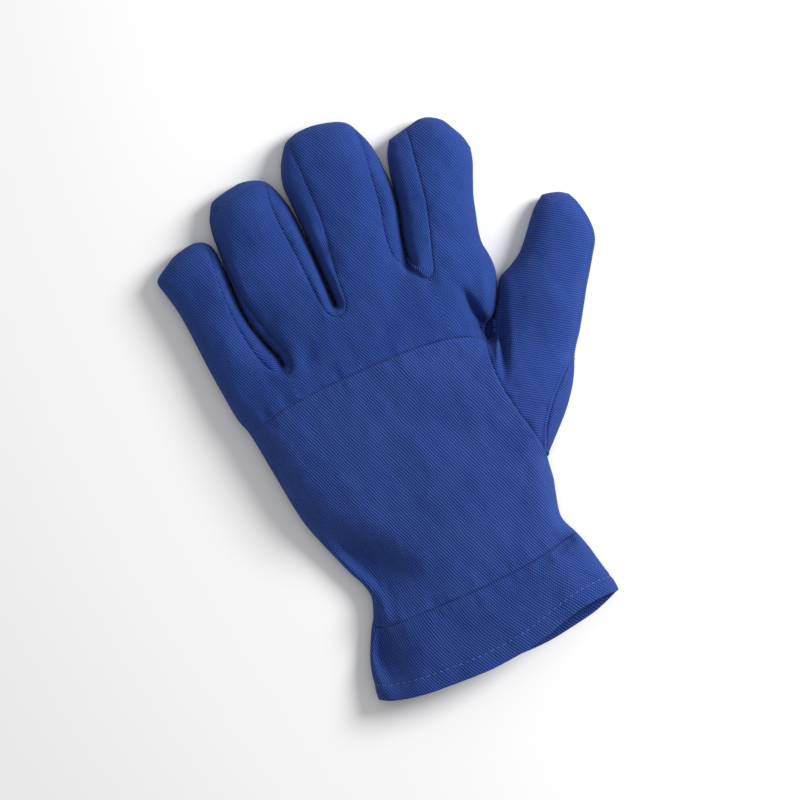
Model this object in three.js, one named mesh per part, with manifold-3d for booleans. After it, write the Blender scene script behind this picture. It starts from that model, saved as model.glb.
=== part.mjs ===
// A cotton drill work glove for the left hand, lying on its palm with its back upwards.
// x runs towards the thumb, y towards the fingertips and z up from the surface that it lies on.
// The glove is one hollow shell of cloth, cut along its seams into the panels that it is sewn from.
import * as THREE from "three";
import { mergeVertices } from "three/addons/utils/BufferGeometryUtils.js";
import Module from "manifold-3d";

const wasm = await Module();
wasm.setup();

// Driving dimensions, in millimetres
const handLength = 175; // hem to the crotch of the middle finger
const handWidth = 118; // nominal width across the palm
const handHeight = 28; // palm to back, with the glove lying empty
const littleLength = 68;
const ringLength = 80;
const middleLength = 85;
const indexLength = 68;
const thumbLength = 96; // from the middle of the thumb seam to its tip
const fingerHeight = 17;
const thumbHeight = 18;
const sideSeamHeight = 5; // where the back meets the palm, at the widest level
const gussetWidth = 8; // height of the gussets between the fingers
const fingerRoot = 12; // how far each finger's tube runs back into the hand
const cuffDepth = 35; // hem to the cuff seam
const hemDepth = 9; // cloth turned in round the wrist opening
const wall = 1.2;
const seamGap = 0.3;

const drillBlue = new THREE.MeshStandardMaterial({ color: 0x2a4796, roughness: 0.9, metalness: 0 });

// The hand from hem to knuckles. at is a share of the hand's length, left and right are shares of
// its width measured from the middle line, and height is a share of its height.
const handSections = [
  { at: 0.0, left: -0.51, right: 0.515, height: 0.8 },
  { at: 0.05, left: -0.505, right: 0.503, height: 0.83 },
  { at: 0.1, left: -0.49, right: 0.486, height: 0.86 },
  { at: 0.15, left: -0.47, right: 0.465, height: 0.87 },
  { at: 0.2, left: -0.447, right: 0.441, height: 0.85 },
  { at: 0.24, left: -0.417, right: 0.416, height: 0.82 },
  { at: 0.28, left: -0.396, right: 0.419, height: 0.82 },
  { at: 0.33, left: -0.403, right: 0.432, height: 0.85 },
  { at: 0.38, left: -0.436, right: 0.444, height: 0.9 },
  { at: 0.45, left: -0.465, right: 0.456, height: 0.96 },
  { at: 0.52, left: -0.498, right: 0.46, height: 1.0 },
  { at: 0.6, left: -0.525, right: 0.458, height: 1.0 },
  { at: 0.68, left: -0.538, right: 0.448, height: 0.98 },
  { at: 0.76, left: -0.555, right: 0.443, height: 0.95 },
  { at: 0.84, left: -0.583, right: 0.452, height: 0.88 },
  { at: 0.9, left: -0.601, right: 0.505, height: 0.8 },
  { at: 0.95, left: -0.613, right: 0.537, height: 0.68 },
  { at: 0.985, left: -0.62, right: 0.544, height: 0.55 },
  { at: 1.0, left: -0.62, right: 0.538, height: 0.45 },
];

// Where the fingers part, across the hand: x is a share of its width and y a share of its length.
const crotchLine = [
  { x: -0.62, y: 0.88 },
  { x: -0.36, y: 0.915 },
  { x: -0.2, y: 0.97 },
  { x: -0.07, y: 1.0 },
  { x: 0.29, y: 0.998 },
  { x: 0.54, y: 0.99 },
];

// The lower edge of the cuff, with the same shares. lift is how far the upper layer stands back.
const hemLine = [
  { x: -0.51, y: 0.034, lift: 0.0 },
  { x: -0.34, y: 0.011, lift: 0.0 },
  { x: 0.0, y: 0.0, lift: 0.0 },
  { x: 0.15, y: 0.001, lift: 0.01 },
  { x: 0.34, y: 0.02, lift: 0.024 },
  { x: 0.45, y: 0.042, lift: 0.018 },
  { x: 0.515, y: 0.068, lift: 0.0 },
];

// The seam across the knuckles and the cuff seam, as they rise and fall across the hand.
const knuckleSeam = [
  { x: -0.62, y: 0.808 },
  { x: -0.3, y: 0.823 },
  { x: 0.0, y: 0.838 },
  { x: 0.2, y: 0.829 },
  { x: 0.4, y: 0.806 },
  { x: 0.6, y: 0.78 },
];
const cuffSeam = [
  { x: -0.6, y: 0.008 },
  { x: -0.3, y: -0.003 },
  { x: 0.0, y: 0.0 },
  { x: 0.3, y: 0.022 },
  { x: 0.6, y: 0.05 },
];

// Soft dents and swellings of the back. x and y are shares of the hand's width and length, along and
// across are the fold's half sizes as shares of its length, and depth is a share of its height.
const folds = [
  { x: -0.31, y: 0.4, turn: 35, along: 0.14, across: 0.07, depth: 0.17 },
  { x: -0.385, y: 0.27, turn: -15, along: 0.06, across: 0.022, depth: -0.1 },
  { x: -0.33, y: 0.14, turn: -25, along: 0.08, across: 0.035, depth: 0.1 },
  { x: 0.05, y: 0.2, turn: 80, along: 0.3, across: 0.035, depth: 0.07 },
  { x: 0.33, y: 0.21, turn: 70, along: 0.12, across: 0.03, depth: 0.1 },
  { x: 0.0, y: 0.44, turn: 75, along: 0.2, across: 0.05, depth: 0.06 },
  { x: 0.41, y: 0.83, turn: -6, along: 0.06, across: 0.022, depth: 0.3 },
];

// Fingers, each from a point on the crotch line: x and y are shares of the hand's width and length,
// and lean is in degrees towards the thumb. In the sections at is a share of the finger's length,
// left, right and the two seams are shares of the hand's width, and height is a share of its own.
const fingers = [
  {
    name: "little",
    length: littleLength,
    height: fingerHeight * 0.9,
    x: -0.508,
    y: 0.931,
    lean: -5.1,
    sections: [
      { at: 0.0, left: -0.118, right: 0.1, seamLeft: -0.08, seamRight: 0.076, height: 1.0 },
      { at: 0.25, left: -0.118, right: 0.098, seamLeft: -0.08, seamRight: 0.073, height: 1.0 },
      { at: 0.55, left: -0.118, right: 0.104, seamLeft: -0.08, seamRight: 0.078, height: 0.98 },
      { at: 0.72, left: -0.122, right: 0.11, seamLeft: -0.082, seamRight: 0.084, height: 0.96 },
      { at: 0.84, left: -0.134, right: 0.118, seamLeft: -0.09, seamRight: 0.092, height: 0.92 },
      { at: 0.89, left: -0.134, right: 0.12, seamLeft: -0.096, seamRight: 0.096, height: 0.86 },
      { at: 0.94, left: -0.095, right: 0.108, seamLeft: -0.08, seamRight: 0.09, height: 0.78 },
      { at: 0.98, left: -0.05, right: 0.088, seamLeft: -0.04, seamRight: 0.076, height: 0.64 },
      { at: 1.0, left: -0.012, right: 0.062, seamLeft: -0.008, seamRight: 0.056, height: 0.5 },
    ],
  },
  {
    name: "ring",
    length: ringLength,
    height: fingerHeight,
    x: -0.258,
    y: 0.961,
    lean: 0,
    sections: [
      { at: 0.0, left: -0.105, right: 0.142, seamLeft: -0.087, seamRight: 0.126, height: 1.0 },
      { at: 0.2, left: -0.13, right: 0.148, seamLeft: -0.11, seamRight: 0.124, height: 1.0 },
      { at: 0.33, left: -0.144, right: 0.157, seamLeft: -0.123, seamRight: 0.118, height: 1.0 },
      { at: 0.48, left: -0.155, right: 0.157, seamLeft: -0.132, seamRight: 0.11, height: 1.0 },
      { at: 0.64, left: -0.163, right: 0.152, seamLeft: -0.138, seamRight: 0.1, height: 0.98 },
      { at: 0.8, left: -0.163, right: 0.138, seamLeft: -0.142, seamRight: 0.092, height: 0.94 },
      { at: 0.88, left: -0.145, right: 0.13, seamLeft: -0.135, seamRight: 0.087, height: 0.86 },
      { at: 0.95, left: -0.129, right: 0.108, seamLeft: -0.12, seamRight: 0.08, height: 0.74 },
      { at: 0.98, left: -0.085, right: 0.072, seamLeft: -0.08, seamRight: 0.062, height: 0.62 },
      { at: 1.0, left: -0.03, right: 0.035, seamLeft: -0.026, seamRight: 0.03, height: 0.5 },
    ],
  },
  {
    name: "middle",
    length: middleLength,
    height: fingerHeight,
    x: 0.089,
    y: 1.0,
    lean: 0,
    sections: [
      { at: 0.0, left: -0.148, right: 0.14, seamLeft: -0.13, seamRight: 0.112, height: 1.0 },
      { at: 0.2, left: -0.148, right: 0.138, seamLeft: -0.129, seamRight: 0.104, height: 1.0 },
      { at: 0.3, left: -0.147, right: 0.142, seamLeft: -0.118, seamRight: 0.107, height: 1.0 },
      { at: 0.42, left: -0.157, right: 0.174, seamLeft: -0.108, seamRight: 0.123, height: 1.0 },
      { at: 0.58, left: -0.178, right: 0.195, seamLeft: -0.102, seamRight: 0.138, height: 0.99 },
      { at: 0.74, left: -0.198, right: 0.193, seamLeft: -0.102, seamRight: 0.15, height: 0.96 },
      { at: 0.86, left: -0.174, right: 0.172, seamLeft: -0.103, seamRight: 0.153, height: 0.9 },
      { at: 0.93, left: -0.138, right: 0.15, seamLeft: -0.102, seamRight: 0.142, height: 0.8 },
      { at: 0.975, left: -0.106, right: 0.105, seamLeft: -0.095, seamRight: 0.1, height: 0.64 },
      { at: 1.0, left: -0.068, right: 0.06, seamLeft: -0.064, seamRight: 0.056, height: 0.5 },
    ],
  },
  {
    name: "index",
    length: indexLength,
    height: fingerHeight,
    x: 0.407,
    y: 1.017,
    lean: 13.2,
    sections: [
      { at: 0.0, left: -0.135, right: 0.134, seamLeft: -0.064, seamRight: 0.09, height: 1.0 },
      { at: 0.1, left: -0.16, right: 0.114, seamLeft: -0.062, seamRight: 0.08, height: 1.0 },
      { at: 0.27, left: -0.168, right: 0.112, seamLeft: -0.062, seamRight: 0.078, height: 1.0 },
      { at: 0.4, left: -0.168, right: 0.116, seamLeft: -0.066, seamRight: 0.08, height: 1.0 },
      { at: 0.55, left: -0.182, right: 0.128, seamLeft: -0.078, seamRight: 0.086, height: 0.98 },
      { at: 0.73, left: -0.185, right: 0.13, seamLeft: -0.09, seamRight: 0.088, height: 0.94 },
      { at: 0.86, left: -0.178, right: 0.1, seamLeft: -0.098, seamRight: 0.07, height: 0.84 },
      { at: 0.91, left: -0.135, right: 0.075, seamLeft: -0.09, seamRight: 0.055, height: 0.76 },
      { at: 0.96, left: -0.09, right: 0.045, seamLeft: -0.075, seamRight: 0.035, height: 0.64 },
      { at: 1.0, left: -0.052, right: 0.004, seamLeft: -0.046, seamRight: 0.0, height: 0.5 },
    ],
  },
];

const thumb = {
  name: "thumb",
  length: thumbLength,
  height: thumbHeight,
  x: 0.424,
  y: 0.629,
  lean: 39,
  sections: [
    { at: -0.27, left: -0.08, right: 0.08, seamLeft: -0.05, seamRight: 0.05, height: 0.8 },
    { at: -0.18, left: -0.1, right: 0.178, seamLeft: -0.06, seamRight: 0.12, height: 0.95 },
    { at: -0.11, left: -0.12, right: 0.187, seamLeft: -0.08, seamRight: 0.13, height: 1.0 },
    { at: 0.0, left: -0.145, right: 0.194, seamLeft: -0.1, seamRight: 0.14, height: 1.05 },
    { at: 0.12, left: -0.152, right: 0.196, seamLeft: -0.105, seamRight: 0.14, height: 1.05 },
    { at: 0.2, left: -0.15, right: 0.19, seamLeft: -0.1, seamRight: 0.135, height: 1.03 },
    { at: 0.27, left: -0.145, right: 0.172, seamLeft: -0.095, seamRight: 0.125, height: 1.0 },
    { at: 0.36, left: -0.14, right: 0.164, seamLeft: -0.092, seamRight: 0.116, height: 1.0 },
    { at: 0.5, left: -0.152, right: 0.156, seamLeft: -0.1, seamRight: 0.11, height: 1.0 },
    { at: 0.66, left: -0.15, right: 0.141, seamLeft: -0.1, seamRight: 0.1, height: 0.98 },
    { at: 0.8, left: -0.149, right: 0.13, seamLeft: -0.1, seamRight: 0.092, height: 0.94 },
    { at: 0.86, left: -0.147, right: 0.118, seamLeft: -0.102, seamRight: 0.085, height: 0.88 },
    { at: 0.92, left: -0.138, right: 0.07, seamLeft: -0.1, seamRight: 0.05, height: 0.78 },
    { at: 0.965, left: -0.12, right: 0.025, seamLeft: -0.09, seamRight: 0.015, height: 0.64 },
    { at: 1.0, left: -0.08, right: -0.02, seamLeft: -0.072, seamRight: -0.026, height: 0.5 },
  ],
};

// The thumb seam on the plan, from the side of the wrist up to the crotch beside the index finger, then
// on through the gap between the two. x and y are shares of the hand's width and length.
const thumbSeam = [
  { x: 0.46, y: 0.455 },
  { x: 0.441, y: 0.51 },
  { x: 0.415, y: 0.575 },
  { x: 0.396, y: 0.65 },
  { x: 0.39, y: 0.7 },
  { x: 0.394, y: 0.75 },
  { x: 0.415, y: 0.79 },
  { x: 0.475, y: 0.835 },
  { x: 0.56, y: 0.94 },
  { x: 0.75, y: 1.2 },
];

// The seam along the thumb's outer edge, seen on the back near its root and below the edge further out.
const thumbEdgeSeam = [
  { x: 0.455, y: 0.44 },
  { x: 0.49, y: 0.505 },
  { x: 0.535, y: 0.56 },
  { x: 0.6, y: 0.613 },
  { x: 0.66, y: 0.65 },
  { x: 0.72, y: 0.66 },
];

const lerp = THREE.MathUtils.lerp;
const smooth = THREE.MathUtils.smoothstep;

// A named column of a table, eased between its rows at a given value of its first column.
function readTable(rows, key, at, column) {
  if (at <= rows[0][key]) return rows[0][column];
  for (let i = 1; i < rows.length; i++) {
    const [low, high] = [rows[i - 1], rows[i]];
    if (at <= high[key]) return lerp(low[column], high[column], (at - low[key]) / (high[key] - low[key]));
  }
  return rows[rows.length - 1][column];
}

// Height added to the back by the folds at a point of the plan, negative in a dent.
function foldLift(x, y) {
  let lift = 0;
  for (const fold of folds) {
    const turn = THREE.MathUtils.degToRad(fold.turn);
    const dx = x - fold.x * handWidth;
    const dy = y - fold.y * handLength;
    const along = (dx * Math.sin(turn) + dy * Math.cos(turn)) / (fold.along * handLength);
    const across = (dx * Math.cos(turn) - dy * Math.sin(turn)) / (fold.across * handLength);
    lift -= fold.depth * handHeight * Math.exp(-along * along - across * across);
  }
  return lift;
}

// One closed section of a cloth tube as [x, z] pairs: a crowned back from seam to seam, a side that
// swells out to the widest level, and a front that turns under and lies flat.
function sectionOutline(size, steps) {
  const { left, right, seamLeft, seamRight, height, seamHeight, widest, floor } = size;
  const under = Math.min((widest - floor) * 1.2, (right - left) / 4);
  const points = [];
  for (let i = 0; i < steps.back; i++) {
    const u = i / steps.back;
    const crown = 1 - Math.abs(2 * u - 1) ** 2.4;
    points.push([lerp(seamLeft, seamRight, u), lerp(seamHeight, height, crown)]);
  }
  const side = (edge, seam, v) => {
    const turn = (v * Math.PI) / 2;
    const x = lerp(lerp(seam, edge, v), lerp(seam, edge, Math.sin(turn)), 0.6);
    const z = lerp(lerp(seamHeight, widest, v), lerp(widest, seamHeight, Math.cos(turn)), 0.6);
    return [x, z];
  };
  const turnUnder = (edge, inward, v) => {
    const turn = (v * Math.PI) / 2;
    return [edge + inward * under * (1 - Math.cos(turn)), lerp(widest, floor, Math.sin(turn))];
  };
  for (let i = 0; i < steps.side; i++) points.push(side(right, seamRight, i / steps.side));
  for (let i = 0; i < steps.under; i++) points.push(turnUnder(right, -1, i / steps.under));
  for (let i = 0; i < steps.front; i++) {
    points.push([lerp(right - under, left + under, i / steps.front), floor]);
  }
  for (let i = steps.under; i > 0; i--) points.push(turnUnder(left, 1, i / steps.under));
  for (let i = steps.side; i > 0; i--) points.push(side(left, seamLeft, i / steps.side));
  return points;
}

// A closed solid from a geometry, with its shared vertices merged.
function solidOf(geometry) {
  geometry.deleteAttribute("normal");
  geometry.deleteAttribute("uv");
  const merged = mergeVertices(geometry, 1e-4);
  const vertProperties = new Float32Array(merged.attributes.position.array);
  const triVerts = new Uint32Array(merged.index.array);
  return new wasm.Manifold(new wasm.Mesh({ numProp: 3, vertProperties, triVerts }));
}

// Triangles that close a ring, joined straight from its back to its front so that a curved end stays
// curved. The ring runs along the back first and returns along the front.
function endFaces(ring, backSteps) {
  const count = ring.length;
  const across = ring[backSteps].clone().sub(ring[0]);
  const reaches = ring.map((p) => p.dot(across));
  const first = reaches.indexOf(Math.min(...reaches));
  const last = reaches.indexOf(Math.max(...reaches));
  const chain = (step) => {
    const list = [first];
    while (list[list.length - 1] !== last) list.push((list[list.length - 1] + step + count) % count);
    return list;
  };
  const back = chain(1);
  const front = chain(-1);
  const faces = [];
  let [i, j] = [0, 0];
  while (i + 1 < back.length || j + 1 < front.length) {
    const backNext = i + 1 < back.length ? reaches[back[i + 1]] : Infinity;
    const frontNext = j + 1 < front.length ? reaches[front[j + 1]] : Infinity;
    if (backNext < frontNext) {
      faces.push([front[j], back[i], back[i + 1]]);
      i += 1;
    } else {
      faces.push([back[i], front[j + 1], front[j]]);
      j += 1;
    }
  }
  return faces.filter(([a, b, c]) => a !== b && b !== c && c !== a);
}

// A solid through rings of points that all have the same count, closed at both ends.
function loft(rings, backSteps) {
  const count = rings[0].length;
  const index = [];
  for (let k = 0; k + 1 < rings.length; k++) {
    for (let i = 0; i < count; i++) {
      const next = (i + 1) % count;
      const here = k * count;
      const there = here + count;
      index.push(here + i, here + next, there + next, here + i, there + next, there + i);
    }
  }
  const lastRing = (rings.length - 1) * count;
  for (const [a, b, c] of endFaces(rings[0], backSteps)) index.push(a, c, b);
  for (const face of endFaces(rings[rings.length - 1], backSteps)) index.push(...face.map((i) => lastRing + i));
  return solidOf(new THREE.BufferGeometry().setFromPoints(rings.flat()).setIndex(index));
}

// The hand's tube, pulled in by a clearance from its outer face. The inner one runs out of the opening.
function handTube(inset) {
  const steps = { back: 14, side: 3, under: 3, front: 6 };
  const shoulder = 0.09 * handWidth;
  const hemShare = hemDepth / handLength;
  const rows = handSections.map((row) => ({ ...row, inset, out: 0 }));
  if (inset > 0) {
    const mouth = rows.shift();
    const hemRow = (at, turned) => ({
      at,
      left: readTable(handSections, "at", at, "left"),
      right: readTable(handSections, "at", at, "right"),
      height: readTable(handSections, "at", at, "height"),
      inset: inset * turned,
      out: 0,
    });
    const hemRows = [
      { ...mouth, inset: inset * 2, out: 4 * wall },
      hemRow(0, 2),
      hemRow(hemShare, 2),
      hemRow(hemShare * 1.08, 1),
    ];
    rows.splice(0, rows.length, ...hemRows, ...rows.filter((row) => row.at > hemShare * 1.1));
  }
  const rings = rows.map((row) => {
    const height = row.height * handHeight - row.inset;
    const left = row.left * handWidth + row.inset;
    const right = row.right * handWidth - row.inset;
    const outline = sectionOutline(
      {
        left,
        right,
        seamLeft: left + shoulder,
        seamRight: right - shoulder,
        height,
        seamHeight: lerp(sideSeamHeight, height, 0.66),
        widest: sideSeamHeight,
        floor: row.inset,
      },
      steps,
    );
    return outline.map(([x, z]) => {
      const share = x / handWidth;
      const above = smooth(z, sideSeamHeight, height);
      const lift = above * readTable(hemLine, "x", share, "lift");
      const hem = (readTable(hemLine, "x", share, "y") + lift) * handLength;
      const crotch = readTable(crotchLine, "x", share, "y") * handLength - inset;
      const y = lerp(hem, crotch, row.at) - row.out;
      return new THREE.Vector3(x, y, z + above * foldLift(x, y));
    });
  });
  return loft(rings, steps.back);
}

// A point of the plan, a distance along a finger's own middle line and another across it.
function onFinger(finger, along, across) {
  const lean = THREE.MathUtils.degToRad(finger.lean);
  return new THREE.Vector2(
    finger.x * handWidth + along * Math.sin(lean) + across * Math.cos(lean),
    finger.y * handLength + along * Math.cos(lean) - across * Math.sin(lean),
  );
}

// A finger's tube, from its root inside the hand to its tip, pulled in by a clearance.
function fingerTube(finger, inset) {
  const steps = { back: 6, side: 3, under: 2, front: 3 };
  const seamHeight = sideSeamHeight + gussetWidth;
  const first = finger.sections[0];
  const root = { ...first, at: first.at - fingerRoot / finger.length };
  const rings = [root, ...finger.sections].map((row) => {
    const height = row.height * finger.height - inset;
    const outline = sectionOutline(
      {
        left: row.left * handWidth + inset,
        right: row.right * handWidth - inset,
        seamLeft: row.seamLeft * handWidth + inset / 2,
        seamRight: row.seamRight * handWidth - inset / 2,
        height,
        seamHeight: Math.min(seamHeight - inset / 2, lerp(sideSeamHeight, height, 0.7)),
        widest: sideSeamHeight,
        floor: inset,
      },
      steps,
    );
    return outline.map(([x, z]) => {
      const plan = onFinger(finger, row.at * (finger.length - inset), x);
      return new THREE.Vector3(plan.x, plan.y, z);
    });
  });
  return loft(rings, steps.back);
}

// A block over an outline on the plan, between two heights.
function prism(outline, low, high) {
  const extrusion = { depth: high - low, bevelEnabled: false };
  const geometry = new THREE.ExtrudeGeometry(new THREE.Shape(outline), extrusion);
  geometry.translate(0, 0, low);
  return solidOf(geometry);
}

const reach = 2 * (handWidth + handLength + middleLength); // past the glove on every side
const overhead = 2 * handHeight;
const seamSteps = 24;

// Everything on the wrist's side of a seam that crosses the hand, moved by a clearance.
function wristSide(seam, base, clearance) {
  const points = seam.map((row) => new THREE.Vector2(row.x * handWidth, base + row.y * handLength));
  const edge = new THREE.SplineCurve(points).getPoints(seamSteps);
  for (const point of edge) point.y += clearance;
  const leftCorner = new THREE.Vector2(-reach, edge[0].y);
  const rightCorner = new THREE.Vector2(reach, edge[seamSteps].y);
  const below = [new THREE.Vector2(reach, -reach), new THREE.Vector2(-reach, -reach)];
  return prism([leftCorner, ...edge, rightCorner, ...below], -overhead, overhead);
}

// A seam's curve on the plan, moved down and to the right by a clearance.
function seamOnPlan(seam, clearance) {
  const points = seam.map((row) => new THREE.Vector2(row.x * handWidth, row.y * handLength));
  const curve = new THREE.SplineCurve(points).getPoints(seamSteps);
  return curve.map((p) => new THREE.Vector2(p.x + clearance, p.y - clearance));
}

// Everything outside the thumb seam, moved sideways by a clearance.
function thumbSide(clearance) {
  const seam = seamOnPlan(thumbSeam, clearance);
  const below = new THREE.Vector2(reach, seam[0].y * 0.75);
  const above = new THREE.Vector2(reach, seam[seam.length - 1].y);
  return prism([...seam, above, below], -overhead, overhead);
}

// The strip of the thumb's front that shows beyond its edge seam, seen from above.
function thumbEdgeStrip(clearance) {
  const seam = seamOnPlan(thumbEdgeSeam, clearance);
  const above = new THREE.Vector2(reach, seam[seam.length - 1].y);
  const corner = new THREE.Vector2(reach, 0);
  return prism([...seam, above, corner, new THREE.Vector2(seam[0].x, 0)], -overhead, overhead);
}

// The space that a gusset takes between two neighbouring fingers, from one middle line to the other.
function gussetSpace(leftFinger, rightFinger, clearance) {
  const gussetEnd = 0.84; // share of the finger's length where the gusset runs out
  const web = 3 * wall + clearance;
  const webSteps = 6;
  const low = sideSeamHeight + seamGap / 2 - clearance;
  const high = sideSeamHeight + gussetWidth - seamGap / 2 + clearance;
  const leftEnd = leftFinger.length * gussetEnd + clearance;
  const rightEnd = rightFinger.length * gussetEnd + clearance;
  const outline = [];
  for (let i = 0; i <= webSteps; i++) {
    const x = lerp(leftFinger.x, rightFinger.x, i / webSteps);
    const crotch = readTable(crotchLine, "x", x, "y") * handLength;
    outline.push(new THREE.Vector2(x * handWidth, crotch - web));
  }
  outline.push(onFinger(rightFinger, rightEnd, 0), onFinger(leftFinger, leftEnd, 0));
  return prism(outline, low, high);
}

const joined = (solids) => solids.reduce((all, solid) => all.add(solid));
const digits = [...fingers, thumb];
const outside = joined([handTube(0), ...digits.map((digit) => fingerTube(digit, 0))]);
const inside = joined([handTube(wall), ...digits.map((digit) => fingerTube(digit, wall))]);
const shell = outside.subtract(inside);

const half = seamGap / 2;
const cuff = shell.intersect(wristSide(cuffSeam, cuffDepth, -half));
const aboveCuff = shell.subtract(wristSide(cuffSeam, cuffDepth, half));
const thumbShell = aboveCuff.intersect(thumbSide(half));
const handShell = aboveCuff.subtract(thumbSide(-half));

const everywhere = [
  new THREE.Vector2(-reach, -reach),
  new THREE.Vector2(reach, -reach),
  new THREE.Vector2(reach, reach),
  new THREE.Vector2(-reach, reach),
];
const frontHalf = prism(everywhere, -overhead, sideSeamHeight - half);
const backHalf = prism(everywhere, sideSeamHeight + half, overhead);

const neighbours = fingers.slice(1).map((finger, i) => [fingers[i], finger]);
const gussets = neighbours.map(([a, b]) => ({
  name: "gusset_" + a.name + "_" + b.name,
  solid: handShell.intersect(gussetSpace(a, b, 0)),
}));
const gussetClearance = joined(neighbours.map(([a, b]) => gussetSpace(a, b, seamGap)));
const backShell = handShell.intersect(backHalf).subtract(gussetClearance);

const panels = [
  { name: "cuff_band", solid: cuff },
  { name: "palm_panel", solid: handShell.intersect(frontHalf) },
  { name: "back_hand_panel", solid: backShell.intersect(wristSide(knuckleSeam, 0, -half)) },
  { name: "back_finger_panel", solid: backShell.subtract(wristSide(knuckleSeam, 0, half)) },
  ...gussets,
  { name: "thumb_front_panel", solid: thumbShell.intersect(frontHalf.add(thumbEdgeStrip(half))) },
  { name: "thumb_back_panel", solid: thumbShell.intersect(backHalf).subtract(thumbEdgeStrip(-half)) },
];

function panelMesh({ name, solid }) {
  const { numProp, vertProperties, triVerts } = solid.getMesh();
  const geometry = new THREE.BufferGeometry();
  geometry.setAttribute("position", new THREE.BufferAttribute(vertProperties, numProp));
  geometry.setIndex(new THREE.BufferAttribute(triVerts, 1));
  geometry.computeVertexNormals();
  const mesh = new THREE.Mesh(geometry, drillBlue);
  mesh.name = name;
  return mesh;
}

const glove = new THREE.Group();
glove.add(...panels.map(panelMesh));

// The origin goes below the middle of the glove, on the surface that it lies on.
const middle = new THREE.Box3().setFromObject(glove).getCenter(new THREE.Vector3());
glove.position.set(-middle.x, -middle.y, 0);

export default glove;
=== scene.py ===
# A cotton drill work glove for the left hand, lying on its palm on a pale floor.
# The plan is measured in millimetres: x towards the thumb, y from the hem to the fingertips, z up.
# The back is one height over the plan, and each panel is a grid between its own seams.
import math

import bpy
import numpy as np
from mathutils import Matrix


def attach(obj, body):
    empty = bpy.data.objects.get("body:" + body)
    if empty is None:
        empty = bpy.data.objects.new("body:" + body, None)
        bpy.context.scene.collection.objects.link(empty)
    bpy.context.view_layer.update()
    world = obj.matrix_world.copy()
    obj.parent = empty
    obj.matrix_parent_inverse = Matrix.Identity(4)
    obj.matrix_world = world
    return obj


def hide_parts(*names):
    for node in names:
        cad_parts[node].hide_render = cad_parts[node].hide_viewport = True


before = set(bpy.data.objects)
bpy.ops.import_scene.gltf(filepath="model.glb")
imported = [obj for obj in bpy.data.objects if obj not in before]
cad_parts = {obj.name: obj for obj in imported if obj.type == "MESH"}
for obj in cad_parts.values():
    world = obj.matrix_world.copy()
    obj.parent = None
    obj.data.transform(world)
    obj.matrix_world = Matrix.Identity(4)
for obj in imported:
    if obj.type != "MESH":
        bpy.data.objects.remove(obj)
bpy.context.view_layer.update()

origin = (15.88, 130.0)  # the frame's origin on the plan
sideLevel = 5.0  # height of the widest level, where the back meets the palm
clothThickness = 1.0

# Curves on the plan.


# Catmull-Rom through the points: p(t) = 0.5 (2b + (c-a)t + (2a-5b+4c-d)t^2 + (3b-a-3c+d)t^3),
# then spaced evenly along its length.
def spline(points, spacing=0.8):
    p = np.array(points, float)
    p = np.vstack([2 * p[0] - p[1], p, 2 * p[-1] - p[-2]])
    t = np.linspace(0, 1, 24, endpoint=False)[None, :, None]
    a, b, c, d = p[:-3, None], p[1:-2, None], p[2:-1, None], p[3:, None]
    dense = 0.5 * (2 * b + (c - a) * t + (2 * a - 5 * b + 4 * c - d) * t**2 + (3 * b - a - 3 * c + d) * t**3)
    dense = np.vstack([dense.reshape(-1, 2), p[-2:-1]])
    return spaced(dense, max(2, round(lengths(dense)[-1] / spacing)))


# Running length along a line.
def lengths(line):
    return np.concatenate([[0.0], np.cumsum(np.linalg.norm(np.diff(line, axis=0), axis=1))])


# count + 1 points spaced along a line; ease(t) maps 0..1 to 0..1.
def spaced(line, count, ease=None):
    run = lengths(line)
    t = np.linspace(0, 1, count + 1)
    t = run[-1] * (ease(t) if ease else t)
    return np.stack([np.interp(t, run, line[:, k]) for k in range(line.shape[1])], axis=1)


# Lines joined end to end, without their shared points.
def joinLines(*lines):
    return np.vstack([lines[0]] + [line[1:] for line in lines[1:]])


# The point of a line nearest to a given one.
def closest(line, point):
    return line[np.argmin(np.linalg.norm(line - np.array(point), axis=1))]


# The point of a line where its coordinate on one axis comes nearest to a value.
def crossing(line, axis, value):
    return line[np.argmin(np.abs(line[:, axis] - value))]


# The part of a line between the points nearest to two given ones.
def part(line, start, end):
    i = np.argmin(np.linalg.norm(line - np.array(start), axis=1))
    j = np.argmin(np.linalg.norm(line - np.array(end), axis=1))
    return line[i : j + 1] if j >= i else line[j : i + 1][::-1]


# Distance from points to a line and the running length of the nearest place on it.
def nearest(points, line, chunk=3000):
    a, ab = line[:-1], np.diff(line, axis=0)
    size = np.maximum((ab**2).sum(1), 1e-12)
    run = lengths(line)
    distance, along = np.empty(len(points)), np.empty(len(points))
    for s in range(0, len(points), chunk):
        p = points[s : s + chunk]
        dx = p[:, None, 0] - a[None, :, 0]
        dy = p[:, None, 1] - a[None, :, 1]
        t = np.clip((dx * ab[:, 0] + dy * ab[:, 1]) / size, 0, 1)
        d2 = (dx - t * ab[:, 0]) ** 2 + (dy - t * ab[:, 1]) ** 2
        k = d2.argmin(1)
        rows = np.arange(len(p))
        distance[s : s + chunk] = np.sqrt(d2[rows, k])
        along[s : s + chunk] = run[k] + t[rows, k] * np.sqrt(size[k])
    return distance, along


# The places on a line nearest to some points in order, from its first end to its last.
def alongside(points, line):
    run = lengths(line)
    at = np.maximum.accumulate(nearest(points, line)[1])
    at[0], at[-1] = 0, run[-1]
    return np.stack([np.interp(at, run, line[:, k]) for k in range(2)], axis=1)


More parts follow.
